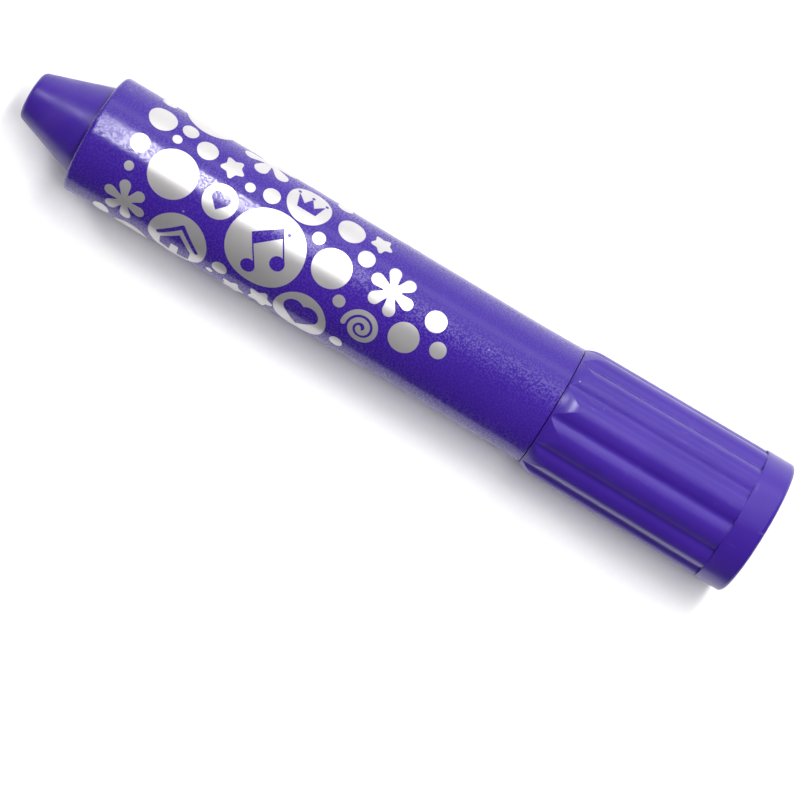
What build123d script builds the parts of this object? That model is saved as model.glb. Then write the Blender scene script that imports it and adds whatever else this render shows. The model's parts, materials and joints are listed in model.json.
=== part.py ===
from build123d import *
import os
from math import pi

# A chunky twist-up crayon lying on its side. X runs along it, tip towards -X and knob towards +X.
# Z = 0 is the surface that it lies on. Inside the functions X = 0 is the barrel's front rim and the
# axis is at Z = 0; place() moves each finished solid into the part's own frame.

# Barrel
BARREL_LENGTH = 73.7        # front rim to the seam with the knob
BORE_RADIUS = 7.0
BARREL_WALL = 1.9
BARREL_SWELL = 0.15         # how much the radius has grown at the seam
SWELL_LENGTH = 9.0
RIM_ROUNDING = 0.6
MOUTH_ROUNDING = 0.2

# Barrel's tail, the journal that the knob turns on
TAIL_LENGTH = 12.0
TAIL_WALL = 0.85
TAIL_CHAMFER = 0.4
BEAD_FROM_SEAM = 5.0
BEAD_WIDTH = 1.8
BEAD_HEIGHT = 0.35

# Keyways in the bore and the keys that run in them
KEY_COUNT = 2
KEYWAY_DEPTH = 0.7
KEYWAY_WIDTH = 2.4
MOUTH_LAND = 4.0            # plain bore left in front of the keyways

# Knob
KNOB_LENGTH = 33.4          # seam to flat end, collar included
FLARE_LENGTH = 3.0
FLARE_RISE = 0.76           # flute crests stand this far outside the seam
KNOB_DRAFT = 0.24           # growth of the crest radius from flare to collar
FLUTE_COUNT = 12
FLUTE_DEPTH = 0.86          # before the valleys are rounded
FLUTE_ROUNDING = 1.0
FLUTE_TURN = 13.2           # degrees from straight up towards -Y, to the middle of one flute
COLLAR_LENGTH = 4.4
COLLAR_STEP = 0.08          # collar stands this far proud of the flute crests
END_ROUNDING = 0.6
END_WALL = 2.2
CHAMBER_STEP = 0.4          # the hollow behind the journal is this much narrower than the tail
BOSS_WALL = 2.4
BOSS_LENGTH = 4.9
BOSS_RIB_COUNT = 4
BOSS_RIB_THICKNESS = 1.0
BOSS_RIB_LENGTH = 3.0

# Screw: spindle and nut
LEAD = 4.0                  # carrier travel for one turn of the knob
SCREW_RADIUS = 2.6
THREAD_DEPTH = 0.8
SCREW_WEB = 2.0             # thickness of the two-start section across its flats
FLANGE_THICKNESS = 1.0
FLANGE_INSET = 0.4
ROOT_ACROSS_FLATS = 4.0
ROOT_LENGTH = 4.4
NUT_LENGTH = 7.0

# Carrier and stick
STEM_WALL = 1.1
STEM_GAP = 0.5              # between the stem's bore and the screw, in front of the nut
CUP_WALL = 1.31
CUP_DEPTH = 6.0
CUP_WEB = 1.0
KEY_LENGTH = 6.0
KEY_FROM_CUP_FRONT = 1.0
STICK_GAP = 0.15            # between the stick and the bore
CONE_START_OUT = 0.3        # the cone starts this far in front of the rim at rest
CONE_END_RADIUS = 3.5
CONE_ROUNDING = 0.9
TIP_OUT = 10.2              # how far the tip stands out at rest
TIP_IN = 0.8                # how far inside the rim the tip goes when wound right in

# Clearances
SEAM_GAP = 0.15             # between the barrel's shoulder and the knob's front face
JOURNAL_CLEARANCE = 0.08
BEAD_CLEARANCE = 0.12
CUP_CLEARANCE = 0.12
KEY_CLEARANCE = 0.15
SCREW_CLEARANCE = 0.15
FLANK_CLEARANCE = 0.35      # measured round the screw, which leaves 0.1 along it
SEAT_CLEARANCE = 0.02       # glued or pressed seats inside one moving group
END_CLEARANCE = 0.5         # left at the ends of the travel

# Radii that follow from the sizes above
BARREL_RADIUS = BORE_RADIUS + BARREL_WALL
SEAM_RADIUS = BARREL_RADIUS + BARREL_SWELL
TAIL_RADIUS = BORE_RADIUS + TAIL_WALL
CREST_RADIUS_FRONT = SEAM_RADIUS + FLARE_RISE
CREST_RADIUS_REAR = CREST_RADIUS_FRONT + KNOB_DRAFT
COLLAR_RADIUS = CREST_RADIUS_REAR + COLLAR_STEP
CHAMBER_RADIUS = TAIL_RADIUS - CHAMBER_STEP
BOSS_RADIUS = ROOT_ACROSS_FLATS / 2 + BOSS_WALL
CUP_RADIUS = BORE_RADIUS - CUP_CLEARANCE
STICK_RADIUS = BORE_RADIUS - STICK_GAP
STICK_TAIL_RADIUS = CUP_RADIUS - CUP_WALL - SEAT_CLEARANCE
STEM_BORE_RADIUS = SCREW_RADIUS + STEM_GAP
STEM_RADIUS = STEM_BORE_RADIUS + STEM_WALL

# Places along X that follow from the sizes above
KNOB_END = BARREL_LENGTH + KNOB_LENGTH
COLLAR_START = KNOB_END - COLLAR_LENGTH
TAIL_END = BARREL_LENGTH + TAIL_LENGTH
BEAD_START = BARREL_LENGTH + BEAD_FROM_SEAM
CHAMBER_END = KNOB_END - END_WALL
BOSS_FACE = CHAMBER_END - BOSS_LENGTH
FLANGE_FACE = BOSS_FACE - FLANGE_THICKNESS
ADVANCE_AT_REST = TIP_OUT + TIP_IN

# The stem telescopes over the spindle, so stem, keyways and travel share the length that is left
WOUND_IN_STEM_END = FLANGE_FACE - END_CLEARANCE
LENGTH_TO_SHARE = (WOUND_IN_STEM_END - NUT_LENGTH - 2 * END_CLEARANCE - CUP_WEB - CUP_DEPTH
                   + KEY_FROM_CUP_FRONT - END_CLEARANCE)
TRAVEL = (LENGTH_TO_SHARE - MOUTH_LAND) / 2
SCREW_TIP = WOUND_IN_STEM_END - NUT_LENGTH - TRAVEL - END_CLEARANCE
STEM_END = WOUND_IN_STEM_END - ADVANCE_AT_REST
STEM_BORE_FRONT = SCREW_TIP - END_CLEARANCE - ADVANCE_AT_REST
CUP_FLOOR = STEM_BORE_FRONT - CUP_WEB
CUP_FRONT = CUP_FLOOR - CUP_DEPTH

AXIS_HEIGHT = COLLAR_RADIUS
FRAME_SHIFT = (TIP_OUT - KNOB_END) / 2


def place(solid, name):
    """Move a finished solid into the part's frame, name it and write its STEP file."""
    placed = Pos(FRAME_SHIFT, 0, AXIS_HEIGHT) * solid
    placed.label = name
    export_step(placed, os.path.join("parts", name + ".step"))
    return placed


def turned(*points):
    """A solid of revolution about X from a closed outline of (x, radius) points."""
    return revolve(make_face(Polyline(*points, close=True)), Axis.X)


def rod(start, end, radius):
    """A plain cylinder along X."""
    return turned((start, 0), (end, 0), (end, radius), (start, radius))


def around_x(angle):
    """A turn about X; positive goes from straight up towards -Y."""
    return Rot(angle, 0, 0)


def barrel_outline():
    """The barrel's wall in the X, radius plane: plain tube, slight swell, seam shoulder and tail."""
    plain_end = BARREL_LENGTH - SWELL_LENGTH
    bead_end = BEAD_START + BEAD_WIDTH
    bead_middle = (BEAD_START + bead_end) / 2
    mouth = Polyline(
        (TAIL_END, BORE_RADIUS),
        (MOUTH_ROUNDING, BORE_RADIUS),
        (0, BORE_RADIUS + MOUTH_ROUNDING),
        (0, BARREL_RADIUS - RIM_ROUNDING),
    )
    rim = RadiusArc((0, BARREL_RADIUS - RIM_ROUNDING), (RIM_ROUNDING, BARREL_RADIUS), RIM_ROUNDING)
    plain = Line((RIM_ROUNDING, BARREL_RADIUS), (plain_end, BARREL_RADIUS))
    swell = TangentArc((plain_end, BARREL_RADIUS), (BARREL_LENGTH, SEAM_RADIUS), tangent=(1, 0))
    shoulder = Polyline(
        (BARREL_LENGTH, SEAM_RADIUS),
        (BARREL_LENGTH, TAIL_RADIUS),
        (BEAD_START, TAIL_RADIUS),
    )
    bead = ThreePointArc(
        (BEAD_START, TAIL_RADIUS), (bead_middle, TAIL_RADIUS + BEAD_HEIGHT), (bead_end, TAIL_RADIUS)
    )
    tail = Polyline(
        (bead_end, TAIL_RADIUS),
        (TAIL_END - TAIL_CHAMFER, TAIL_RADIUS),
        (TAIL_END, TAIL_RADIUS - TAIL_CHAMFER),
        (TAIL_END, BORE_RADIUS),
    )
    return make_face([mouth, rim, plain, swell, shoulder, bead, tail])


def make_barrel():
    """Tube with a keyed bore. The keyways break right through the tail, so its bead can spring."""
    barrel = revolve(barrel_outline(), Axis.X)
    keyway_start = CUP_FRONT + KEY_FROM_CUP_FRONT + ADVANCE_AT_REST - TRAVEL - END_CLEARANCE
    keyway_length = BARREL_LENGTH - keyway_start
    slot_height = TAIL_RADIUS + 2 * BEAD_HEIGHT - BORE_RADIUS / 2
    for index in range(KEY_COUNT):
        turn = around_x(360 * index / KEY_COUNT)
        keyway = rod(keyway_start, BARREL_LENGTH, BORE_RADIUS + KEYWAY_DEPTH)
        keyway &= Pos(keyway_start + keyway_length / 2, 0, BORE_RADIUS) * Box(
            keyway_length, KEYWAY_WIDTH, BORE_RADIUS
        )
        slot = Pos(BARREL_LENGTH + TAIL_LENGTH / 2, 0, (BORE_RADIUS + slot_height) / 2) * Box(
            TAIL_LENGTH, KEYWAY_WIDTH, slot_height
        )
        barrel -= turn * keyway
        barrel -= turn * slot
    return barrel


def lobed_face(x, crest_radius):
    """The knob's section at x: convex lobes that meet in small rounded valleys."""
    valley_radius = crest_radius - FLUTE_DEPTH
    step = 360 / FLUTE_COUNT
    plane = Plane(origin=(x, 0, 0), x_dir=(0, 0, 1), z_dir=(1, 0, 0))
    lobes = []
    for index in range(FLUTE_COUNT):
        start = Vector(valley_radius, 0).rotate(Axis.Z, FLUTE_TURN + step * index)
        crest = Vector(crest_radius, 0).rotate(Axis.Z, FLUTE_TURN + step * (index + 0.5))
        end = Vector(valley_radius, 0).rotate(Axis.Z, FLUTE_TURN + step * (index + 1))
        lobes.append(ThreePointArc(start, crest, end))
    section = make_face(lobes)
    section = fillet(section.vertices(), FLUTE_ROUNDING)
    return plane * section


def make_knob_shell():
    """Outer form: flutes that run out in the flared mouth and stop dead at the plain collar."""
    flare_drop = CREST_RADIUS_FRONT - SEAM_RADIUS
    front = BARREL_LENGTH + SEAM_GAP
    flare_end = front + FLARE_LENGTH
    fluted = loft([lobed_face(front, CREST_RADIUS_FRONT), lobed_face(COLLAR_START, CREST_RADIUS_REAR)])
    flare = TangentArc((flare_end, CREST_RADIUS_FRONT), (front, SEAM_RADIUS), tangent=(-1, 0))
    rest = Polyline(
        (front, SEAM_RADIUS),
        (front, 0),
        (COLLAR_START, 0),
        (COLLAR_START, CREST_RADIUS_REAR + flare_drop),
        (flare_end, CREST_RADIUS_REAR + flare_drop),
        (flare_end, CREST_RADIUS_FRONT),
    )
    fluted &= revolve(make_face([flare, rest]), Axis.X)
    collar = rod(COLLAR_START, KNOB_END, COLLAR_RADIUS)
    collar = fillet(collar.edges().filter_by(GeomType.CIRCLE).sort_by(Axis.X)[-1], END_ROUNDING)
    return fluted + collar


def make_knob():
    """Hollow knob: journal bore with a snap groove, a narrower chamber and a boss for the screw."""
    front = BARREL_LENGTH + SEAM_GAP
    journal_radius = TAIL_RADIUS + JOURNAL_CLEARANCE
    journal_end = TAIL_END + END_CLEARANCE
    groove_start = BEAD_START - BEAD_CLEARANCE
    groove_end = BEAD_START + BEAD_WIDTH + BEAD_CLEARANCE
    groove_radius = TAIL_RADIUS + BEAD_HEIGHT + BEAD_CLEARANCE
    knob = make_knob_shell()
    knob -= turned(
        (front, 0),
        (front, journal_radius),
        (groove_start, journal_radius),
        (groove_start, groove_radius),
        (groove_end, groove_radius),
        (groove_end, journal_radius),
        (journal_end, journal_radius),
        (journal_end, CHAMBER_RADIUS),
        (CHAMBER_END, CHAMBER_RADIUS),
        (CHAMBER_END, 0),
    )
    knob += rod(BOSS_FACE, CHAMBER_END, BOSS_RADIUS)
    rib_middle = CHAMBER_END - BOSS_RIB_LENGTH / 2
    rib = Pos(rib_middle, 0, (BOSS_RADIUS + CHAMBER_RADIUS) / 2) * Box(
        BOSS_RIB_LENGTH, BOSS_RIB_THICKNESS, CHAMBER_RADIUS - BOSS_RADIUS + BOSS_RIB_THICKNESS
    )
    for index in range(BOSS_RIB_COUNT):
        knob += around_x(360 * (index + 0.5) / BOSS_RIB_COUNT) * rib
    return knob - hexagon(BOSS_FACE, ROOT_LENGTH + SEAT_CLEARANCE, SEAT_CLEARANCE)


def hexagon(start, length, clearance):
    """The spindle's hexagonal root, or the socket for it."""
    plane = Plane(origin=(start, 0, 0), x_dir=(0, 1, 0), z_dir=(1, 0, 0))
    radius = ROOT_ACROSS_FLATS / 2 + clearance
    return extrude(plane * RegularPolygon(radius, 6, major_radius=False), length)


def screw(start, end, clearance=0, flank_clearance=0):
    """Two-start left-hand thread from start to end, in phase with SCREW_TIP, grown by a clearance."""
    crest = Circle(SCREW_RADIUS + clearance)
    bar = Rectangle(2 * crest.radius, SCREW_WEB + 2 * flank_clearance)
    section = Circle(SCREW_RADIUS - THREAD_DEPTH + clearance) + (bar & crest)
    plane = Plane(origin=(start, 0, 0), x_dir=(0, 1, 0), z_dir=(1, 0, 0))
    phase = -360 * (start - SCREW_TIP) / LEAD
    face = plane * (Rot(0, 0, phase) * section)
    turn = -360 * (end - start) / LEAD
    return Solid.extrude_linear_with_rotation(face.face(), (start, 0, 0), (end - start, 0, 0), turn)


def make_spindle():
    """Lead screw with a thrust flange and a hexagonal root that is pressed into the knob's boss."""
    spindle = screw(SCREW_TIP, FLANGE_FACE)
    spindle += rod(FLANGE_FACE, BOSS_FACE, BOSS_RADIUS - FLANGE_INSET)
    return spindle + hexagon(BOSS_FACE, ROOT_LENGTH, 0)


def make_carrier():
    """Cup for the stick's tail, with keys for the barrel and a stem that ends in the nut."""
    key_radius = BORE_RADIUS + KEYWAY_DEPTH - KEY_CLEARANCE
    key_width = KEYWAY_WIDTH - 2 * KEY_CLEARANCE
    nut_front = STEM_END - NUT_LENGTH
    carrier = turned(
        (CUP_FRONT, CUP_RADIUS),
        (CUP_FRONT, STICK_TAIL_RADIUS + SEAT_CLEARANCE),
        (CUP_FLOOR, STICK_TAIL_RADIUS + SEAT_CLEARANCE),
        (CUP_FLOOR, 0),
        (STEM_BORE_FRONT, 0),
        (STEM_BORE_FRONT, STEM_BORE_RADIUS),
        (nut_front, STEM_BORE_RADIUS),
        (nut_front, 0),
        (STEM_END, 0),
        (STEM_END, STEM_RADIUS),
        (STEM_BORE_FRONT, STEM_RADIUS),
        (STEM_BORE_FRONT, CUP_RADIUS),
    )
    key_height = key_radius - STICK_TAIL_RADIUS - 2 * SEAT_CLEARANCE
    key_middle = CUP_FRONT + KEY_FROM_CUP_FRONT + KEY_LENGTH / 2
    key = Pos(key_middle, 0, key_radius - key_height / 2) * Box(KEY_LENGTH, key_width, key_height)
    for index in range(KEY_COUNT):
        carrier += around_x(360 * index / KEY_COUNT) * key
    return carrier - screw(
        nut_front - END_CLEARANCE, STEM_END + END_CLEARANCE, SCREW_CLEARANCE, FLANK_CLEARANCE
    )


def make_stick():
    """Cast wax stick: tail in the cup, plain body and a long cone with a softly blunted end."""
    tip = -TIP_OUT
    stick = turned(
        (tip, 0),
        (tip, CONE_END_RADIUS),
        (-CONE_START_OUT, STICK_RADIUS),
        (CUP_FRONT, STICK_RADIUS),
        (CUP_FRONT, STICK_TAIL_RADIUS),
        (CUP_FLOOR - SEAT_CLEARANCE, STICK_TAIL_RADIUS),
        (CUP_FLOOR - SEAT_CLEARANCE, 0),
    )
    tip_edge = stick.edges().filter_by(GeomType.CIRCLE).sort_by(Axis.X)[0]
    return fillet(tip_edge, CONE_ROUNDING)


def main():
    os.makedirs("parts", exist_ok=True)
    makers = {
        "crayon_stick": make_stick,
        "barrel": make_barrel,
        "carrier": make_carrier,
        "spindle": make_spindle,
        "twist_knob": make_knob,
    }
    for name, maker in makers.items():
        solid = place(maker(), name)
        print(name, round(solid.volume, 1), "mm3")
    print("travel", round(TRAVEL, 3), "out from rest", round(TRAVEL - ADVANCE_AT_REST, 3))
    print("in from rest", round(ADVANCE_AT_REST, 3), "slide per radian", round(LEAD / (2 * pi), 6))


main()
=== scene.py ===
"""Dresses, lights and frames the twist-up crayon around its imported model.

Sizes held by the classes are in millimetres and degrees. Meshes are written in metres, in the
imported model's own frame: X along the crayon towards the knob, Z up, the viewer towards -Y.
"""

import json
import logging
from abc import ABC, abstractmethod
from dataclasses import dataclass, field
from enum import Enum
from math import ceil, cos, pi, radians, sin

import bpy
import numpy as np
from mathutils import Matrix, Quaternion, Vector

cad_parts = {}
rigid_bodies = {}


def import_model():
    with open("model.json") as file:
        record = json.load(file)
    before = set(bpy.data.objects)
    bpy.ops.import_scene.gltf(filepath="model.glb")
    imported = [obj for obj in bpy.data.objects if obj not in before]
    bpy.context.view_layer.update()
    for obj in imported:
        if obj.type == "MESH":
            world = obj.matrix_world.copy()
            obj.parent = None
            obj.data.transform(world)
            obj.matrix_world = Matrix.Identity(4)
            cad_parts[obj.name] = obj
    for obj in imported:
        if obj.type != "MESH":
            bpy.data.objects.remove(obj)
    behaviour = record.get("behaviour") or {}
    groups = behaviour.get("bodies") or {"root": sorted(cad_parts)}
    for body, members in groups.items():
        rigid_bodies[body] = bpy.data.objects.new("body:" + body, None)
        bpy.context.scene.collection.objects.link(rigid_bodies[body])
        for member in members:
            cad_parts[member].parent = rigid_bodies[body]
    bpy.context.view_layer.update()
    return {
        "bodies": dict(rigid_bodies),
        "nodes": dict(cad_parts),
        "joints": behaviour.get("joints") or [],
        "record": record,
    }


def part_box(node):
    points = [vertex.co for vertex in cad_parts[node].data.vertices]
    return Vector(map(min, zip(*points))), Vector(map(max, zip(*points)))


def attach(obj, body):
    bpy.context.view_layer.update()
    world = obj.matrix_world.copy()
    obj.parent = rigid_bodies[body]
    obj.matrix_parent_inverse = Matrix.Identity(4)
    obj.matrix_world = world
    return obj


LOG = logging.getLogger("crayon")
MM = 0.001
MICRON = 1e-6
SMOOTH_UP_TO = 35.0     # degrees between two faces that still shade as one surface
LEAST_SHARE = 0.06      # of a grid side, that a trimmed triangle keeps or loses

Colour = tuple[float, float, float]
Triple = tuple[float, float, float]
Grid = np.ndarray


class Node(str, Enum):
    """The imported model's nodes."""

    STICK = "crayon_stick"
    BARREL = "barrel"
    CARRIER = "carrier"
    SPINDLE = "spindle"
    KNOB = "twist_knob"


class Body(str, Enum):
    """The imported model's moving groups."""

    BARREL = "barrel"
    KNOB = "knob"
    STICK = "stick"


class Slot(str, Enum):
    """The record's material slot for the foil. No piece is given it here."""

    FOIL = "foil"


# ---------------------------------------------------------------- finishes


class Shader:
    """A Principled material, with methods that add the nodes of its pattern one by one."""

    def __init__(self, name: str) -> None:
        """Start an empty node tree.

        Args:
            name: the material's name.
        """
        self.material = bpy.data.materials.new(name)
        self.material.use_nodes = True
        self.tree = self.material.node_tree
        self.surface = self.tree.nodes["Principled BSDF"]
        self.position = self.tree.nodes.new("ShaderNodeTexCoord").outputs["Object"]

    def set(self, **values: float | Colour) -> None:
        """Set uniform values on the surface's own sockets.

        Args:
            values: socket names with underscores for spaces, and their values.
        """
        for name, value in values.items():
            full = (*value, 1.0) if isinstance(value, tuple) else value
            self.surface.inputs[name.replace("_", " ")].default_value = full

    def mapped(self, scale: Triple, turn: Triple = (0.0, 0.0, 0.0)) -> bpy.types.NodeSocket:
        """Object coordinates, turned and stretched.

        Args:
            scale: factors along X, Y and Z.
            turn: turns about X, Y and Z in degrees.

        Returns:
            The vector socket.
        """
        node = self.tree.nodes.new("ShaderNodeMapping")
        node.inputs["Scale"].default_value = scale
        node.inputs["Rotation"].default_value = [radians(t) for t in turn]
        self.tree.links.new(self.position, node.inputs["Vector"])
        return node.outputs["Vector"]

    def noise(
        self, vector: bpy.types.NodeSocket, scale: float, detail: float = 2.0, rough: float = 0.5
    ) -> bpy.types.NodeSocket:
        """Fractal noise about 0.5.

        Args:
            vector: where it is read.
            scale: features per metre.
            detail: octaves.
            rough: share that each finer octave keeps.

        Returns:
            The factor socket.
        """
        node = self.tree.nodes.new("ShaderNodeTexNoise")
        node.inputs["Scale"].default_value = scale
        node.inputs["Detail"].default_value = detail
        node.inputs["Roughness"].default_value = rough
        self.tree.links.new(vector, node.inputs["Vector"])
        return node.outputs["Fac"]

    def cells(self, vector: bpy.types.NodeSocket, scale: float) -> bpy.types.NodeSocket:
        """Distance to the nearest of many scattered points.

        Args:
            vector: where it is read.
            scale: points per metre.

        Returns:
            The distance socket.
        """
        node = self.tree.nodes.new("ShaderNodeTexVoronoi")
        node.inputs["Scale"].default_value = scale
        self.tree.links.new(vector, node.inputs["Vector"])
        return node.outputs["Distance"]

    def spread(
        self, value: bpy.types.NodeSocket, low: float, high: float, to_low: float, to_high: float
    ) -> bpy.types.NodeSocket:
        """Carry a value from one range to another, held at the ends.

        Args:
            value: what is carried.
            low: start of the range it comes from.
            high: end of the range it comes from.
            to_low: result at low.
            to_high: result at high.

        Returns:
            The result socket.
        """
        node = self.tree.nodes.new("ShaderNodeMapRange")
        for name, number in (
            ("From Min", low), ("From Max", high), ("To Min", to_low), ("To Max", to_high)
        ):
            node.inputs[name].default_value = number
        self.tree.links.new(value, node.inputs["Value"])
        return node.outputs["Result"]

    def math(
        self, operation: str, first: bpy.types.NodeSocket, second: bpy.types.NodeSocket | float
    ) -> bpy.types.NodeSocket:
        """One sum on two values.

        Args:
            operation: the Math node's operation.
            first: first value.
            second: second value, a socket or a number.

        Returns:
            The result socket.
        """
        node = self.tree.nodes.new("ShaderNodeMath")
        node.operation = operation
        self.tree.links.new(first, node.inputs[0])
        if isinstance(second, float):
            node.inputs[1].default_value = second
        else:
            self.tree.links.new(second, node.inputs[1])
        return node.outputs[0]

    def blend(
        self, share: bpy.types.NodeSocket, first: bpy.types.NodeSocket | Colour, second: Colour
    ) -> bpy.types.NodeSocket:
        """Mix two colours.

        Args:
            share: 0 for the first, 1 for the second.
            first: a colour or a colour socket.
            second: a colour.

        Returns:
            The colour socket.
        """
        node = self.tree.nodes.new("ShaderNodeMix")
        node.data_type = "RGBA"
        self.tree.links.new(share, node.inputs["Factor"])
        if isinstance(first, tuple):
            node.inputs[6].default_value = (*first, 1.0)
        else:
            self.tree.links.new(first, node.inputs[6])
        node.inputs[7].default_value = (*second, 1.0)
        return node.outputs[2]

    def relief(
        self,
        height: bpy.types.NodeSocket,
        depth_um: float,
        over: bpy.types.NodeSocket | None = None,
    ) -> bpy.types.NodeSocket:
        """Surface relief from a height between 0 and 1.

        Args:
            height: the height.
            depth_um: what a height of 1 stands for, in micrometres.
            over: the normal that it is laid over.

        Returns:
            The normal socket.
        """
        node = self.tree.nodes.new("ShaderNodeBump")
        node.inputs["Distance"].default_value = depth_um * MICRON
        self.tree.links.new(height, node.inputs["Height"])
        if over is not None:
            self.tree.links.new(over, node.inputs["Normal"])
        return node.outputs["Normal"]

    def join(self, **sockets: bpy.types.NodeSocket) -> bpy.types.Material:
        """Join pattern sockets to the surface.

        Args:
            sockets: socket names with underscores for spaces, and what drives them.

        Returns:
            The finished material.
        """
        for name, socket in sockets.items():
            self.tree.links.new(socket, self.surface.inputs[name.replace("_", " ")])
        return self.material


class Finish(ABC):
    """A surface finish that can be laid on a piece."""

    @abstractmethod
    def material(self) -> bpy.types.Material:
        """The finish as a material."""

    def lay_on(self, piece: bpy.types.Object) -> None:
        """Give every slot of a piece this finish.

        Args:
            piece: the object to dress.
        """
        made = self.material()
        if not piece.material_slots:
            piece.data.materials.append(made)
        for slot in piece.material_slots:
            slot.material = made


@dataclass(frozen=True)
class MouldedPlastic(Finish):
    """Glossy moulded plastic with fine grain, faint handling scratches and stray dust.

    Colour is the base colour drifting to a paler one in soft clouds. Roughness swings between two
    values from grain to grain, and scratches add to it. Relief is grain over a slow ripple, and
    the grain makes a bright highlight sparkle.
    """

    name: str
    colour: Colour
    paler: Colour
    roughness: float = 0.10
    dullest: float = 0.34
    grain_um: float = 5.0
    ripple_um: float = 5.0
    scratches: float = 0.10
    dust: float = 0.4
    scratch_dulling: float = 0.2
    scratch_tint: Colour = (0.30, 0.22, 0.60)
    dust_tint: Colour = (0.55, 0.50, 0.72)
    ior: float = 1.46
    clouds_per_m: float = 90.0
    grains_per_m: float = 3700.0
    ripples_per_m: float = 210.0
    specks_per_m: float = 420.0

    def material(self) -> bpy.types.Material:
        """Make the plastic's nodes.

        Returns:
            The material.
        """
        shader = Shader(self.name)
        shader.set(IOR=self.ior)
        even = shader.mapped((1.0, 1.0, 1.0))
        clouds = shader.spread(shader.noise(even, self.clouds_per_m), 0.35, 0.65, 0.0, 1.0)
        grain = shader.noise(even, self.grains_per_m, 2.0, 0.6)
        ripple = shader.noise(even, self.ripples_per_m, 1.0)
        along = shader.noise(shader.mapped((0.12, 1.0, 1.0), (0.0, 0.0, 17.0)), 2600.0, 3.0)
        across = shader.noise(shader.mapped((1.0, 0.15, 0.15), (0.0, 0.0, -31.0)), 2300.0, 3.0)
        worn = shader.noise(even, 150.0, 3.0)
        scratch = shader.math(
            "MAXIMUM",
            shader.spread(along, 0.66, 0.74, 0.0, 1.0),
            shader.spread(across, 0.68, 0.75, 0.0, 1.0),
        )
        scratch = shader.math("MULTIPLY", scratch, shader.spread(worn, 0.52, 0.62, 0.0, 1.0))
        specks = shader.spread(shader.cells(even, self.specks_per_m), 0.05, 0.075, self.dust, 0.0)
        specks = shader.math("MULTIPLY", specks, shader.spread(worn, 0.56, 0.62, 0.0, 1.0))
        base = shader.blend(clouds, self.colour, self.paler)
        pale_line = shader.math("MULTIPLY", scratch, self.scratches)
        base = shader.blend(pale_line, base, self.scratch_tint)
        base = shader.blend(specks, base, self.dust_tint)
        rough = shader.spread(grain, 0.48, 0.54, self.roughness, self.dullest)
        dulled = shader.math("MULTIPLY", scratch, self.scratch_dulling)
        rough = shader.math("ADD", rough, dulled)
        normal = shader.relief(ripple, self.ripple_um)
        normal = shader.relief(grain, self.grain_um, normal)
        return shader.join(Base_Color=base, Roughness=rough, Normal=normal)


@dataclass(frozen=True)
class PigmentedWax(Finish):
    """Cast wax: a soft sheen, mottled pigment, faint rings from the mould and small pits."""

    name: str
    colour: Colour
    deeper: Colour
    roughness: float = 0.34
    ior: float = 1.44
    bloom_tint: Colour = (0.075, 0.037, 0.27)
    ring_um: float = 9.0
    pit_um: float = 5.0

    def material(self) -> bpy.types.Material:
        """Make the wax's nodes.

        Returns:
            The material.
        """
        shader = Shader(self.name)
        shader.set(IOR=self.ior)
        even = shader.mapped((1.0, 1.0, 1.0))
        mottle = shader.spread(shader.noise(even, 420.0, 4.0, 0.6), 0.35, 0.7, 0.0, 1.0)
        rings = shader.noise(shader.mapped((1.0, 0.04, 0.04)), 1900.0, 2.0)
        bloom = shader.spread(shader.noise(even, 160.0, 3.0), 0.52, 0.75, 0.0, 0.35)
        pits = shader.spread(shader.cells(even, 900.0), 0.0, 0.22, 0.0, 1.0)
        base = shader.blend(mottle, self.colour, self.deeper)
        base = shader.blend(bloom, base, self.bloom_tint)
        rough = shader.spread(mottle, 0.0, 1.0, self.roughness - 0.05, self.roughness + 0.08)
        normal = shader.relief(rings, self.ring_um)
        normal = shader.relief(pits, self.pit_um, normal)
        return shader.join(Base_Color=base, Roughness=rough, Normal=normal)


@dataclass(frozen=True)
class NaturalPlastic(Finish):
    """Unpigmented milky plastic with flow marks and a greyer tint in soft random patches."""

    name: str
    colour: Colour
    greyer: Colour = (0.74, 0.73, 0.72)
    roughness: float = 0.34
    ior: float = 1.5
    flow_um: float = 5.0

    def material(self) -> bpy.types.Material:
        """Make the plastic's nodes.

        Returns:
            The material.
        """
        shader = Shader(self.name)
        shader.set(IOR=self.ior)
        even = shader.mapped((1.0, 1.0, 1.0))
        flow = shader.noise(shader.mapped((0.25, 1.0, 1.0)), 500.0, 3.0)
        tint = shader.spread(shader.noise(even, 220.0), 0.4, 0.65, 0.0, 1.0)
        base = shader.blend(tint, self.colour, self.greyer)
        rough = shader.spread(flow, 0.3, 0.7, self.roughness - 0.06, self.roughness + 0.08)
        normal = shader.relief(flow, self.flow_um)
        return shader.join(Base_Color=base, Roughness=rough, Normal=normal)


@dataclass(frozen=True)
class SilverFoil(Finish):
    """Hot-stamped silver foil: a mirror under a milky haze, with fine lines along it."""

    name: str
    colour: Colour
    duller: Colour
    roughness: float = 0.34
    metallic: float = 0.65
    line_um: float = 0.5
    grain_um: float = 0.7

    def material(self) -> bpy.types.Material:
        """Make the foil's nodes.

        Returns:
            The material.
        """
        shader = Shader(self.name)
        shader.set(Metallic=self.metallic)
        even = shader.mapped((1.0, 1.0, 1.0))
        lines = shader.noise(shader.mapped((0.06, 1.0, 1.0)), 3000.0, 2.0)
        grain = shader.noise(even, 5200.0, 2.0)
        patches = shader.spread(shader.noise(even, 330.0, 3.0), 0.4, 0.7, 0.0, 1.0)
        base = shader.blend(patches, self.colour, self.duller)
        rough = shader.spread(lines, 0.3, 0.7, self.roughness - 0.03, self.roughness + 0.04)
        normal = shader.relief(lines, self.line_um)
        normal = shader.relief(grain, self.grain_um, normal)
        return shader.join(Base_Color=base, Roughness=rough, Normal=normal)


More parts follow.
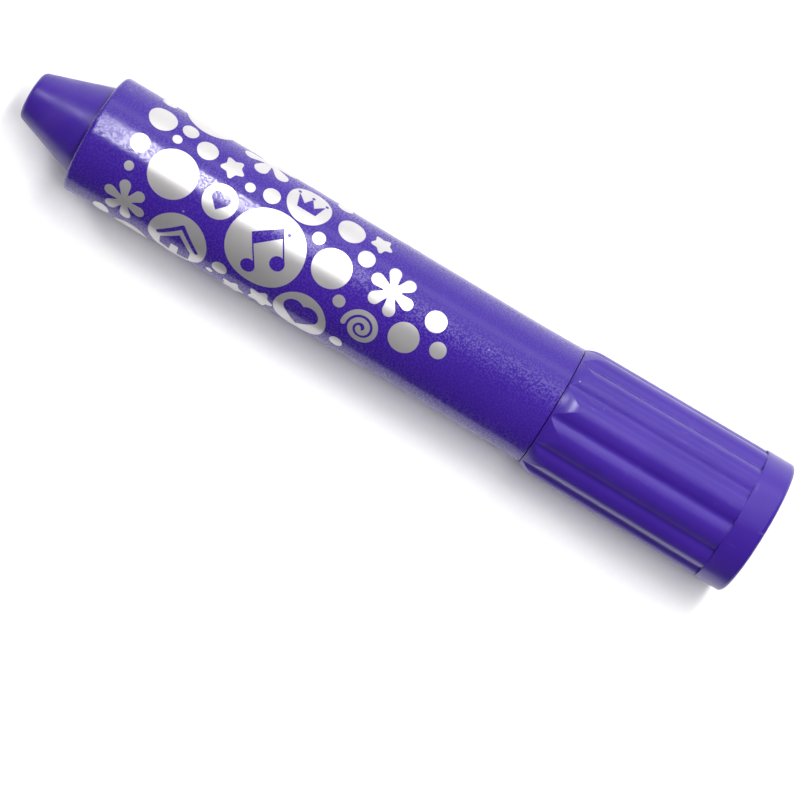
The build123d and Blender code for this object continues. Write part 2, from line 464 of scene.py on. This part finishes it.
@dataclass(frozen=True)
class MattCard(Finish):
    """Smooth matt card, for the floor and the flag, with a faint grey tooth."""

    name: str
    colour: Colour
    roughness: float = 0.7
    grey: Colour = (0.5, 0.5, 0.5)
    grey_share: float = 0.04
    tooth_um: float = 4.0

    def material(self) -> bpy.types.Material:
        """Make the card's nodes.

        Returns:
            The material.
        """
        shader = Shader(self.name)
        shader.set(Roughness=self.roughness)
        tooth = shader.noise(shader.mapped((1.0, 1.0, 1.0)), 900.0, 3.0)
        shade = shader.spread(tooth, 0.3, 0.7, 0.0, self.grey_share)
        base = shader.blend(shade, self.colour, self.grey)
        return shader.join(Base_Color=base, Normal=shader.relief(tooth, self.tooth_um))


# ---------------------------------------------------------------- foil motifs


class Outline(ABC):
    """A flat shape in its own (u, v) plane, in millimetres. v is down, so -v is up."""

    @property
    @abstractmethod
    def reach(self) -> float:
        """Radius of a circle about the origin that holds the shape."""

    @abstractmethod
    def distance(self, u: Grid, v: Grid) -> Grid:
        """Signed distance to the edge, negative inside.

        Args:
            u: first coordinates.
            v: second coordinates.

        Returns:
            The distances.
        """

    @property
    def step(self) -> float:
        """Spacing of the grid that the shape is cut on."""
        return 0.16


def disc_distance(u: Grid, v: Grid, centre: tuple[float, float], radius: float) -> Grid:
    """Distance to a disc: how far the point is from the centre, less the radius."""
    return np.hypot(u - centre[0], v - centre[1]) - radius


def line_distance(u: Grid, v: Grid, points: np.ndarray, radius: float) -> Grid:
    """Distance to a thick line of segments.

    For each segment the point is dropped on to it, held between its ends, and the smallest of the
    distances to those feet less the half thickness is kept.

    Args:
        u: first coordinates.
        v: second coordinates.
        points: the line's corners, one per row.
        radius: half the line's thickness.

    Returns:
        The distances.
    """
    start, run = points[:-1], np.diff(points, axis=0)
    du, dv = u[..., None] - start[:, 0], v[..., None] - start[:, 1]
    share = (du * run[:, 0] + dv * run[:, 1]) / (run**2).sum(1)
    share = share.clip(0.0, 1.0)
    return np.hypot(du - share * run[:, 0], dv - share * run[:, 1]).min(-1) - radius


def polygon_distance(u: Grid, v: Grid, corners: np.ndarray) -> Grid:
    """Distance to a polygon: that to its closed outline, with the sign of a crossing count.

    A point is inside when a ray along +u crosses the outline an odd number of times.

    Args:
        u: first coordinates.
        v: second coordinates.
        corners: the corners in order, one per row.

    Returns:
        The distances.
    """
    closed = np.vstack([corners, corners[:1]])
    (au, av), (bu, bv) = closed[:-1].T, closed[1:].T
    rise = np.where(bv == av, 1e-12, bv - av)
    spans = (av > v[..., None]) != (bv > v[..., None])
    crossing = au + (v[..., None] - av) * (bu - au) / rise
    inside = (spans & (u[..., None] < crossing)).sum(-1) % 2 == 1
    return line_distance(u, v, closed, 0.0) * np.where(inside, -1.0, 1.0)


@dataclass(frozen=True)
class Disc(Outline):
    """A plain dot."""

    diameter: float

    @property
    def reach(self) -> float:
        """Half the diameter."""
        return self.diameter / 2

    def distance(self, u: Grid, v: Grid) -> Grid:
        """Distance to the disc."""
        return disc_distance(u, v, (0.0, 0.0), self.diameter / 2)


@dataclass(frozen=True)
class Flower(Outline):
    """Petals that widen from a small eye to round ends.

    A petal is the hull of two circles on one ray: its flank is a straight line whose slope is the
    difference of the radii over the distance of their centres.
    """

    size: float
    petals: int = 6
    eye: float = 0.07
    end: float = 0.255

    @property
    def reach(self) -> float:
        """From the middle to a petal's tip."""
        return self.size

    def distance(self, u: Grid, v: Grid) -> Grid:
        """Smallest distance to any petal.

        Args:
            u: first coordinates.
            v: second coordinates.

        Returns:
            The distances.
        """
        eye, end = self.eye * self.size, self.end * self.size
        far = self.size - end
        lean = (eye - end) / far
        upright = (1 - lean**2) ** 0.5
        sector = 2 * pi / self.petals
        angle = np.arctan2(v, u)
        angle = angle - sector * np.round(angle / sector)
        radius = np.hypot(u, v)
        along, aside = radius * np.cos(angle), np.abs(radius * np.sin(angle))
        level = along * upright - aside * lean
        flank = aside * upright + along * lean - eye
        tip = np.hypot(along - far, aside) - end
        return np.where(level < 0, radius - eye, np.where(level > upright * far, tip, flank))


@dataclass(frozen=True)
class Star(Outline):
    """A plump star with rounded points."""

    diameter: float
    points: int = 5
    waist: float = 0.55
    rounding: float = 0.17

    @property
    def reach(self) -> float:
        """Half the diameter."""
        return self.diameter / 2

    def distance(self, u: Grid, v: Grid) -> Grid:
        """Distance to a sharp star, grown by the rounding.

        Args:
            u: first coordinates.
            v: second coordinates.

        Returns:
            The distances.
        """
        outer = self.reach * (1 - self.rounding * 1.25)
        corner = np.arange(2 * self.points)
        turn = corner * pi / self.points
        radius = np.where(corner % 2 == 0, outer, outer * self.waist)
        corners = np.column_stack([radius * np.cos(turn), radius * np.sin(turn)])
        return polygon_distance(u, v, corners) - self.rounding * self.reach


@dataclass(frozen=True)
class Heart(Outline):
    """Two round lobes that run down to a point."""

    width: float

    @property
    def reach(self) -> float:
        """Half the width, and a little for the point."""
        return 0.6 * self.width

    def distance(self, u: Grid, v: Grid) -> Grid:
        """Distance to a unit heart, scaled.

        The unit heart has its point at the origin, straight flanks at 45 degrees and lobes of
        radius a quarter of root two about (0.25, 0.75).

        Args:
            u: first coordinates.
            v: second coordinates.

        Returns:
            The distances.
        """
        unit = self.width / 1.207
        side, up = np.abs(u) / unit, 0.56 - v / unit
        lobe = np.hypot(side - 0.25, up - 0.75) - 2**0.5 / 4
        half = np.maximum(side + up, 0.0) / 2
        flank = np.minimum(np.hypot(side, up - 1), np.hypot(side - half, up - half))
        edge = np.where(side + up > 1, lobe, flank * np.sign(side - up))
        return edge * unit


@dataclass(frozen=True)
class House(Outline):
    """A gable with an open door under a separate roof line."""

    roof_radius: float = 0.32

    @property
    def reach(self) -> float:
        """Roof end to middle, and a little more."""
        return 4.0

    def distance(self, u: Grid, v: Grid) -> Grid:
        """Smaller of the distances to the roof line and to the gable.

        Args:
            u: first coordinates.
            v: second coordinates.

        Returns:
            The distances.
        """
        roof = np.array([[-2.9, 0.35], [0.0, -2.7], [3.1, 0.3]])
        gable = np.array(
            [
                [0.1, -1.2], [2.4, 1.1], [2.4, 3.2], [0.6, 3.6], [0.6, 1.4],
                [-0.6, 1.4], [-0.6, 3.4], [-2.2, 2.9], [-2.4, 1.1],
            ]
        )
        roof_line = line_distance(u, v, roof, self.roof_radius)
        return np.minimum(roof_line, polygon_distance(u, v, gable))


@dataclass(frozen=True)
class Note(Outline):
    """Two joined quavers: a slanted beam, thin stems and round heads, and a pinhole beside them."""

    stem_radius: float = 0.11

    @property
    def reach(self) -> float:
        """Head to middle, and a little more."""
        return 3.8

    def distance(self, u: Grid, v: Grid) -> Grid:
        """Smallest of the distances to beam, stems, heads and pinhole.

        Args:
            u: first coordinates.
            v: second coordinates.

        Returns:
            The distances.
        """
        beam = np.array([[-1.75, -2.40], [2.65, -2.80], [2.65, -1.4], [-1.75, -0.7]])
        parts = [
            polygon_distance(u, v, beam),
            line_distance(u, v, np.array([[-1.66, -2.3], [-1.66, 2.2]]), self.stem_radius),
            line_distance(u, v, np.array([[2.54, -2.7], [2.54, 2.1]]), self.stem_radius),
            disc_distance(u, v, (-2.6, 2.4), 1.05),
            disc_distance(u, v, (1.6, 2.05), 1.08),
            disc_distance(u, v, (3.35, -1.85), 0.27),
        ]
        return np.minimum.reduce(parts)


@dataclass(frozen=True)
class Crown(Outline):
    """Three points with a ball on each."""

    ball_radius: float = 0.27

    @property
    def reach(self) -> float:
        """Ball to middle, and a little more."""
        return 3.0

    def distance(self, u: Grid, v: Grid) -> Grid:
        """Smallest of the distances to the body and its balls.

        Args:
            u: first coordinates.
            v: second coordinates.

        Returns:
            The distances.
        """
        body = np.array(
            [
                [-1.45, 1.25], [-2.1, -1.35], [-0.75, 0.15], [0.0, -1.45],
                [0.75, 0.15], [2.1, -1.35], [1.45, 1.25],
            ]
        )
        middles = ((-2.15, -1.6), (0.0, -1.7), (2.15, -1.6))
        balls = [disc_distance(u, v, middle, self.ball_radius) for middle in middles]
        return np.minimum.reduce([polygon_distance(u, v, body), *balls])


@dataclass(frozen=True)
class Medallion(Outline):
    """A disc with a smaller shape left out of it."""

    diameter: float
    cut: Outline
    cut_spin: float = 0.0
    fine: float = 0.11

    @property
    def reach(self) -> float:
        """Half the diameter."""
        return self.diameter / 2

    @property
    def step(self) -> float:
        """A finer grid, for the shape left out."""
        return self.fine

    def distance(self, u: Grid, v: Grid) -> Grid:
        """Larger of the distance to the disc and the opposite of that to the cut.

        Args:
            u: first coordinates.
            v: second coordinates.

        Returns:
            The distances.
        """
        turned_u, turned_v = turned(u, v, self.cut_spin)
        disc = disc_distance(u, v, (0.0, 0.0), self.diameter / 2)
        return np.maximum(disc, -self.cut.distance(turned_u, turned_v))


@dataclass(frozen=True)
class Spiral(Outline):
    """A coil of even band: the radius falls by one pitch for each turn."""

    outer: float = 2.6
    pitch: float = 1.14
    turns: float = 2.0
    band: float = 0.76
    joints: int = 90

    @property
    def reach(self) -> float:
        """Centre line's first radius and half the band."""
        return self.outer + self.band / 2

    def distance(self, u: Grid, v: Grid) -> Grid:
        """Distance to the coil's centre line, less half the band.

        Args:
            u: first coordinates.
            v: second coordinates.

        Returns:
            The distances.
        """
        turn = np.linspace(0.0, 2 * pi * self.turns, self.joints)
        radius = self.outer - self.pitch * turn / (2 * pi)
        line = np.column_stack([-radius * np.cos(turn), -radius * np.sin(turn)])
        return line_distance(u, v, line, self.band / 2)


def turned(u: Grid, v: Grid, degrees: float) -> tuple[Grid, Grid]:
    """Coordinates turned by an angle from u towards v."""
    c, s = cos(radians(degrees)), sin(radians(degrees))
    return u * c - v * s, u * s + v * c


@dataclass(frozen=True)
class Motif:
    """An outline at its place on the barrel.

    along is the distance behind the front rim, turn the angle from straight up towards the viewer,
    and spin turns the outline in its own plane.
    """

    outline: Outline
    along: float
    turn: float
    spin: float = 0.0


@dataclass
class Sheet:
    """Flat triangles: points in the (along, round) plane, and the corner numbers of each."""

    points: np.ndarray
    triangles: np.ndarray


def cut_sheet(outline: Outline, spin: float) -> Sheet:
    """Cut an outline out of a grid of triangles.

    Triangles wholly inside are kept. One that the edge crosses is trimmed at the points where the
    distance, taken as even along each side, is nought, but never nearer an end than a least share.

    Args:
        outline: the shape.
        spin: its turn in degrees.

    Returns:
        The sheet, wound so that it faces outwards once it is wrapped on the barrel.
    """
    half = outline.reach + 2 * outline.step
    count = ceil(2 * half / outline.step) + 1
    line = np.linspace(-half, half, count)
    along, round_ = np.meshgrid(line, line, indexing="ij")
    value = outline.distance(*turned(along, round_, spin)).ravel()
    points = np.column_stack([along.ravel(), round_.ravel()])
    number = np.arange(count * count).reshape(count, count)
    near, far = number[:-1, :-1], number[1:, :-1]
    side, opposite = number[:-1, 1:], number[1:, 1:]
    corners = [np.stack([near, opposite, far], -1), np.stack([near, side, opposite], -1)]
    triangles = np.concatenate([c.reshape(-1, 3) for c in corners])
    inside = value < 0
    kept = inside[triangles].sum(1)
    ones = rolled(triangles[kept == 1], inside, True)
    twos = rolled(triangles[kept == 2], inside, False)
    pairs = np.concatenate([ones[:, [0, 1]], ones[:, [0, 2]], twos[:, [0, 1]], twos[:, [0, 2]]])
    pairs.sort(axis=1)
    sides, crossing = np.unique(pairs, axis=0, return_inverse=True)
    crossing = crossing.ravel() + len(points)
    start, end = value[sides[:, 0]], value[sides[:, 1]]
    share = (start / (start - end)).clip(LEAST_SHARE, 1 - LEAST_SHARE)[:, None]
    cuts = points[sides[:, 0]] * (1 - share) + points[sides[:, 1]] * share
    a, b, c, d = np.split(crossing, np.cumsum([len(ones), len(ones), len(twos)]))
    faces = np.concatenate(
        [
            triangles[kept == 3],
            np.column_stack([ones[:, 0], a, b]),
            np.column_stack([c, twos[:, 1], twos[:, 2]]),
            np.column_stack([c, twos[:, 2], d]),
        ]
    )
    used, faces = np.unique(faces, return_inverse=True)
    return Sheet(np.vstack([points, cuts])[used], faces.reshape(-1, 3))


def rolled(triangles: np.ndarray, inside: np.ndarray, wanted: bool) -> np.ndarray:
    """Triangles with their corners passed round until the odd one out is first.

    Args:
        triangles: corner numbers.
        inside: whether each point is inside.
        wanted: the state of the odd corner.

    Returns:
        The corner numbers in their new order.
    """
    first = (inside[triangles] == wanted).argmax(1)
    order = (first[:, None] + np.arange(3)) % 3
    return np.take_along_axis(triangles, order, axis=1)


@dataclass
class Scatter:
    """Carries the print on round the unseen back by rule.

    Each outline is tried at random spots until its circle clears every circle already there by the
    gap. One that never fits is left out.
    """

    radius: float
    along: tuple[float, float] = (6.0, 56.0)
    turns: tuple[float, float] = (104.0, 276.0)
    gap: float = 0.6
    tries: int = 400
    seed: int = 11

    def fill(self, placed: list[Motif], outlines: list[Outline]) -> list[Motif]:
        """Place outlines, largest first, among motifs that are already there.

        Args:
            placed: the motifs already there.
            outlines: what to add, in order.

        Returns:
            The new motifs.
        """
        draw = np.random.default_rng(self.seed)
        circles = np.array([(m.along, m.turn, m.outline.reach) for m in placed])
        added = []
        for outline in outlines:
            spots = draw.uniform(*zip(self.along, self.turns), (self.tries, 2))
            spin = draw.uniform(0.0, 360.0)
            swing = (spots[:, None, 1] - circles[:, 1] + 180.0) % 360.0 - 180.0
            apart = np.hypot(
                spots[:, None, 0] - circles[:, 0], radians(1.0) * self.radius * swing
            )
            room = (apart - circles[:, 2] - outline.reach).min(1)
            free = np.flatnonzero(room > self.gap)
            if len(free):
                snug = free[room[free].argmin()]
                along, turn = spots[snug]
                added.append(Motif(outline, along, turn, spin))
                circles = np.vstack([circles, (along, turn, outline.reach)])
        return added


@dataclass
class FoilPrint:
    """The silver print, one piece for each family of motifs, lying on the barrel's skin."""

    radius: float
    front: float
    height: float
    lift: float = 0.004
    thickness: float = 0.022
    finish: Finish = field(
        default_factory=lambda: SilverFoil("silver_foil", (0.59, 0.575, 0.58), (0.55, 0.535, 0.54))
    )

    def families(self) -> dict[str, list[Motif]]:
        """Gather the motifs of each family, the front ones by place and the rest by rule.

        Returns:
            The motifs under each piece's name.
        """
        dots = [
            Motif(Disc(d), x, t)
            for x, t, d in (
                (7.8, -39.5, 4.15), (11.9, -43.5, 2.4), (11.0, -27.5, 1.4), (15.3, -34, 3.1),
                (7.0, -6.5, 2.7), (7.3, 16, 1.4), (22.9, -23.5, 1.5), (26.0, -27.5, 2.5),
                (34.5, -15.5, 1.9), (37.8, -40, 4.0), (41.5, -22, 2.5), (41.2, 23.5, 1.8),
                (56.2, 16, 2.4), (43.5, 65.5, 1.95), (24.7, 60.5, 2.3), (23.5, 72.5, 1.0),
                (6.2, 77.5, 2.5), (13.0, 2.5, 7.05), (38.1, 2, 5.65), (51.3, 22, 4.4),
                (54.0, -5, 3.1), (7.1, -70, 2.2), (13.4, -77, 7.2), (35.3, -70.5, 2.4),
                (11.0, 95, 5.9),
            )
        ]
        flowers = [
            Motif(Flower(3.3), 8.95, 48.5, -11),
            Motif(Flower(3.5), 46.8, -8, -11),
            Motif(Flower(4.1), 23.4, -69.5, 16),
        ]
        stars = [
            Motif(Star(3.8), 19.5, -32, -10),
            Motif(Star(3.5), 42.3, -45, -10),
            Motif(Star(4.2), 31.5, 70),
            Motif(Star(3.8), 27.3, 80),
        ]
        medallions = [
            Motif(Medallion(5.0, Heart(2.8)), 20.4, 2),
            Motif(Medallion(8.0, Heart(5.35)), 37.4, 60),
            Motif(Medallion(8.9, House()), 17.8, 57.5),
            Motif(Medallion(11.35, Note(), fine=0.09), 28.95, 17.5, 30.8),
            Motif(Medallion(6.6, Crown()), 31.0, -40.5),
        ]
        spirals = [Motif(Spiral(), 45.6, 35.5, 10)]
        shown = dots + flowers + stars + medallions + spirals
        more = [
            Medallion(8.0, Heart(4.6)), Disc(7.0), Medallion(6.6, Star(3.8)), Disc(6.2),
            Flower(3.2), Flower(2.9), Disc(5.4), Spiral(), Flower(2.7), Disc(4.6), Disc(4.2),
            Star(3.7), Star(3.5), Disc(3.6), Star(3.2), Star(3.0), Disc(3.2), Disc(3.0),
            *[Disc(2.5)] * 7, *[Disc(1.9)] * 9, *[Disc(1.4)] * 12,
        ]
        hidden = Scatter(self.radius).fill(shown, more)
        groups = {
            "foil_dots": (Disc, dots),
            "foil_flowers": (Flower, flowers),
            "foil_stars": (Star, stars),
            "foil_medallions": (Medallion, medallions),
            "foil_spirals": (Spiral, spirals),
        }
        return {
            name: own + [m for m in hidden if isinstance(m.outline, kind)]
            for name, (kind, own) in groups.items()
        }

    def wrapped(self, along: Grid, round_: Grid, lift: float) -> np.ndarray:
        """Points wrapped on the barrel.

        The angle from straight up is the way round divided by the barrel's radius, and the point
        stands at the radius plus the lift in that direction.

        Args:
            along: distances behind the rim.
            round_: way round from straight up, towards the viewer.
            lift: height over the skin.

        Returns:
            One point per row, in metres.
        """
        angle = round_ / self.radius
        reach = self.radius + lift
        across, up = -reach * np.sin(angle), self.height + reach * np.cos(angle)
        return np.column_stack((self.front + along, across, up)) * MM

    def build(self, name: str, motifs: list[Motif]) -> bpy.types.Object:
        """Make one family as closed thin sheets.

        The outer face is the wrapped sheet, the inner one the same turned over, and every side that
        only one triangle uses gets a wall.

        Args:
            name: the piece's name.
            motifs: its motifs.

        Returns:
            The piece, dressed and riding on the barrel.
        """
        points, faces, total = [], [], 0
        for motif in motifs:
            sheet = cut_sheet(motif.outline, motif.spin)
            middle = radians(motif.turn) * self.radius
            along, round_ = sheet.points[:, 0] + motif.along, sheet.points[:, 1] + middle
            size = len(along)
            for lift in (self.lift + self.thickness, self.lift):
                points.append(self.wrapped(along, round_, lift))
            sides = np.concatenate([sheet.triangles[:, [i, (i + 1) % 3]] for i in range(3)])
            forward, back = sides[:, 0] * size + sides[:, 1], sides[:, 1] * size + sides[:, 0]
            u, v = sides[~np.isin(forward, back)].T
            shell = [
                sheet.triangles,
                sheet.triangles[:, ::-1] + size,
                np.column_stack([v, u, u + size]),
                np.column_stack([v, u + size, v + size]),
            ]
            faces.append(np.concatenate(shell) + total)
            total += 2 * size
        piece = mesh_piece(name, np.vstack(points), np.vstack(faces))
        self.finish.lay_on(piece)
        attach(piece, Body.BARREL.value)
        return piece

    def lay(self) -> None:
        """Build every family."""
        for name, motifs in self.families().items():
            piece = self.build(name, motifs)
            LOG.info("%s: %d motifs, %d triangles", name, len(motifs), len(piece.data.polygons))


def mesh_piece(name: str, points: np.ndarray, triangles: np.ndarray) -> bpy.types.Object:
    """Put points and triangles into a new object, smooth but for its sharp edges.

    Args:
        name: the object's name.
        points: one point per row, in metres.
        triangles: corner numbers, one triangle per row.

    Returns:
        The object, linked to the scene.
    """
    mesh = bpy.data.meshes.new(name)
    mesh.from_pydata(points, [], triangles.tolist())
    mesh.validate()
    mesh.polygons.foreach_set("use_smooth", np.ones(len(mesh.polygons), bool))
    mesh.set_sharp_from_angle(angle=radians(SMOOTH_UP_TO))
    piece = bpy.data.objects.new(name, mesh)
    bpy.context.scene.collection.objects.link(piece)
    return piece


# ---------------------------------------------------------------- sub-assemblies


def grip_radius(frame: dict) -> float:
    """Radius of the barrel's plain part, which the record gives as a mount.

    Args:
        frame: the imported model.

    Returns:
        The radius in millimetres.
    """
    mounts = {mount["name"]: mount for mount in frame["record"]["mounts"]}
    return mounts["barrel_grip"]["dims"]["r_mm"]


@dataclass
class Barrel:
    """The smooth barrel and the print on it."""

    frame: dict
    plastic: Finish = MouldedPlastic(
        "barrel_violet", (0.0345, 0.0098, 0.232), (0.039, 0.0112, 0.248)
    )

    def dress(self) -> None:
        """Lay the plastic on the moulding, then the foil on the plastic."""
        self.plastic.lay_on(self.frame["nodes"][Node.BARREL.value])
        low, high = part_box(Node.BARREL.value)
        LOG.info("%s: violet plastic", Node.BARREL.value)
        FoilPrint(grip_radius(self.frame), low.x / MM, (low.z + high.z) / 2 / MM).lay()


@dataclass
class Knob:
    """The fluted knob and the screw inside it."""

    frame: dict
    plastic: Finish = MouldedPlastic(
        "knob_violet", (0.0345, 0.0098, 0.232), (0.041, 0.0120, 0.255),
        roughness=0.28, dullest=0.29, grain_um=2.0, ripple_um=9.0, scratches=0.20, dust=0.7,
    )
    inner: Finish = NaturalPlastic("spindle_white", (0.80, 0.80, 0.82))

    def dress(self) -> None:
        """Lay the finishes on the knob and its screw."""
        self.plastic.lay_on(self.frame["nodes"][Node.KNOB.value])
        self.inner.lay_on(self.frame["nodes"][Node.SPINDLE.value])
        LOG.info("%s and %s dressed", Node.KNOB.value, Node.SPINDLE.value)


@dataclass
class Stick:
    """The wax stick and the carrier that holds it."""

    frame: dict
    wax: Finish = PigmentedWax("violet_wax", (0.038, 0.0102, 0.240), (0.030, 0.0083, 0.210))
    inner: Finish = NaturalPlastic("carrier_white", (0.80, 0.80, 0.82))

    def dress(self) -> None:
        """Lay the finishes on the stick and its carrier."""
        self.wax.lay_on(self.frame["nodes"][Node.STICK.value])
        self.inner.lay_on(self.frame["nodes"][Node.CARRIER.value])
        LOG.info("%s and %s dressed", Node.STICK.value, Node.CARRIER.value)


# ---------------------------------------------------------------- studio


@dataclass(frozen=True)
class Lamp:
    """A flat rectangular white light that faces straight down, or its aim where it has one.

    Its power is pi times its area times the brightness that it shows.
    """

    name: str
    place: Triple
    size: tuple[float, float]
    brightness: float
    aim: Triple | None = None
    feather: float = 0.0
    slant: float = 0.0
    in_reflections: bool = True
    on_surfaces: bool = True

    def hang(self) -> None:
        """Make the light."""
        data = bpy.data.lights.new(self.name, "AREA")
        data.shape = "RECTANGLE"
        data.size, data.size_y = self.size[0] * MM, self.size[1] * MM
        data.energy = pi * data.size * data.size_y * self.brightness
        lamp = bpy.data.objects.new(self.name, data)
        lamp.location = Vector(self.place) * MM
        if self.aim is not None:
            lamp.rotation_mode = "QUATERNION"
            away = Vector(self.aim) * MM - lamp.location
            lamp.rotation_quaternion = away.to_track_quat("-Z", "Y")
        lamp.visible_camera = False
        lamp.visible_glossy = self.in_reflections
        lamp.visible_diffuse = self.on_surfaces
        if self.feather:
            self.soften(data)
        bpy.context.scene.collection.objects.link(lamp)

    def soften(self, data: bpy.types.Light) -> None:
        """Fade the light out towards its front and back edges.

        Brightness is a smooth step of the distance from the nearer edge, full at the feather's
        width. The front edge draws back by the slant, in proportion to the way across.

        Args:
            data: the light.
        """
        data.use_nodes = True
        tree = data.node_tree
        place = tree.nodes.new("ShaderNodeNewGeometry")
        parts = tree.nodes.new("ShaderNodeSeparateXYZ")
        front = tree.nodes.new("ShaderNodeMath")
        back = tree.nodes.new("ShaderNodeMath")
        inward = tree.nodes.new("ShaderNodeMath")
        step = tree.nodes.new("ShaderNodeMapRange")
        front.operation, front.inputs[1].default_value = "MULTIPLY_ADD", -self.slant
        back.operation, back.inputs[0].default_value = "SUBTRACT", 1.0
        inward.operation = "MINIMUM"
        step.interpolation_type = "SMOOTHSTEP"
        step.inputs["From Max"].default_value = self.feather
        tree.links.new(place.outputs["Parametric"], parts.inputs[0])
        tree.links.new(parts.outputs["X"], front.inputs[0])
        tree.links.new(parts.outputs["Y"], front.inputs[2])
        tree.links.new(parts.outputs["Y"], back.inputs[1])
        tree.links.new(front.outputs[0], inward.inputs[0])
        tree.links.new(back.outputs[0], inward.inputs[1])
        tree.links.new(inward.outputs[0], step.inputs["Value"])
        tree.links.new(step.outputs["Result"], tree.nodes["Emission"].inputs["Strength"])


@dataclass
class Studio:
    """Pale floor, soft light and a camera that looks down on the crayon."""

    frame: dict
    floor: Finish = MattCard("white_card", (0.93, 0.93, 0.93))
    floor_reach: float = 4000.0
    floor_gap: float = 0.02
    ambient: Colour = (0.100, 0.091, 0.100)
    flag: Finish = MattCard("black_card", (0.01, 0.01, 0.012))
    flag_place: float = -27.0
    flag_reach: float = 220.0
    flag_heights: tuple[float, float] = (4.0, 60.0)
    lens: float = 133.5
    target: Triple = (7.65, -10.35, 10.1)
    distance: float = 415.7
    elevation: float = 85.4
    azimuth: float = -5.5
    roll: float = 36.4

    @staticmethod
    def halves() -> np.ndarray:
        """The two triangles of a card whose corners are numbered along its second side first."""
        return np.array([[0, 2, 3], [0, 3, 1]])

    def lay_floor(self) -> None:
        """Lay a flat card, tilted about Y so that the crayon's rim and collar both rest on it.

        Its slope is the gap under the front rim divided by the length from rim to flat end.
        """
        low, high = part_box(Node.KNOB.value)
        front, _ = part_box(Node.BARREL.value)
        under = (low.z + high.z) / 2 - grip_radius(self.frame) * MM
        slope = under / (high.x - front.x)
        edge = np.array([-self.floor_reach, self.floor_reach]) * MM
        x, y = (g.ravel() for g in np.meshgrid(edge, edge, indexing="ij"))
        z = (high.x - x) * slope - self.floor_gap * MM
        card = mesh_piece("floor_card", np.column_stack([x, y, z]), self.halves())
        self.floor.lay_on(card)

    def light(self) -> None:
        """Hang the lamps and set the dim surroundings.

        The strip is the bright band that shows in the barrel, and it lights nothing. The key,
        nearer the knob, lights the crayon and the floor, and does not show in them.
        """
        lamps = (
            Lamp("ceiling", (0.0, 1250.0, 1000.0), (2400.0, 2400.0), 1.3, feather=0.33),
            Lamp(
                "back_wall", (0.0, 1300.0, 500.0), (2400.0, 1000.0), 1.05, aim=(0.0, 0.0, 500.0)
            ),
            Lamp(
                "front_fill", (0.0, -750.0, 1000.0), (2400.0, 1500.0), 0.38, in_reflections=False
            ),
            Lamp(
                "strip", (-71.0, 98.0, 427.0), (55.0, 337.0), 32.0,
                feather=0.03, slant=0.45, on_surfaces=False,
            ),
            Lamp("key", (85.0, 98.0, 427.0), (60.0, 337.0), 30.0, in_reflections=False),
            Lamp("side_strip", (-400.0, 140.0, 430.0), (250.0, 130.0), 14.0, feather=0.2),
        )
        for lamp in lamps:
            lamp.hang()
        world = bpy.data.worlds.new("surroundings")
        world.use_nodes = True
        world.node_tree.nodes["Background"].inputs["Color"].default_value = (*self.ambient, 1.0)
        bpy.context.scene.world = world

    def stand_flag(self) -> None:
        """Stand a black card on the viewer's side, seen only in reflections, as a dark edge."""
        along = (-self.flag_reach, self.flag_reach)
        x, z = (g.ravel() * MM for g in np.meshgrid(along, self.flag_heights, indexing="ij"))
        y = np.full_like(x, self.flag_place * MM)
        card = mesh_piece("dark_flag", np.column_stack([x, y, z]), self.halves())
        self.flag.lay_on(card)
        card.visible_camera = card.visible_diffuse = card.visible_shadow = False
        card.visible_transmission = False

    def set_camera(self) -> None:
        """Aim at the target from an elevation and azimuth, then roll about the line of sight."""
        up, aside = radians(self.elevation), radians(self.azimuth)
        back = Vector((sin(aside) * cos(up), -cos(aside) * cos(up), sin(up)))
        camera = bpy.data.objects.new("camera", bpy.data.cameras.new("camera"))
        camera.data.lens = self.lens
        camera.data.clip_start = 0.01
        camera.location = Vector(self.target) * MM + back * self.distance * MM
        camera.rotation_mode = "QUATERNION"
        roll = Quaternion((0.0, 0.0, 1.0), radians(self.roll))
        camera.rotation_quaternion = (-back).to_track_quat("-Z", "Y") @ roll
        bpy.context.scene.collection.objects.link(camera)
        bpy.context.scene.camera = camera
        bpy.context.scene.view_settings.view_transform = "Standard"

    def build(self) -> None:
        """Floor, lights, flag and camera."""
        self.lay_floor()
        self.light()
        self.stand_flag()
        self.set_camera()
        LOG.info("studio ready")


def main() -> None:
    """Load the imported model, dress each sub-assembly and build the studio."""
    logging.basicConfig(level=logging.INFO, format="%(message)s")
    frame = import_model()
    for part in (Stick(frame), Barrel(frame), Knob(frame)):
        part.dress()
    Studio(frame).build()


if __name__ == "__main__":
    main()
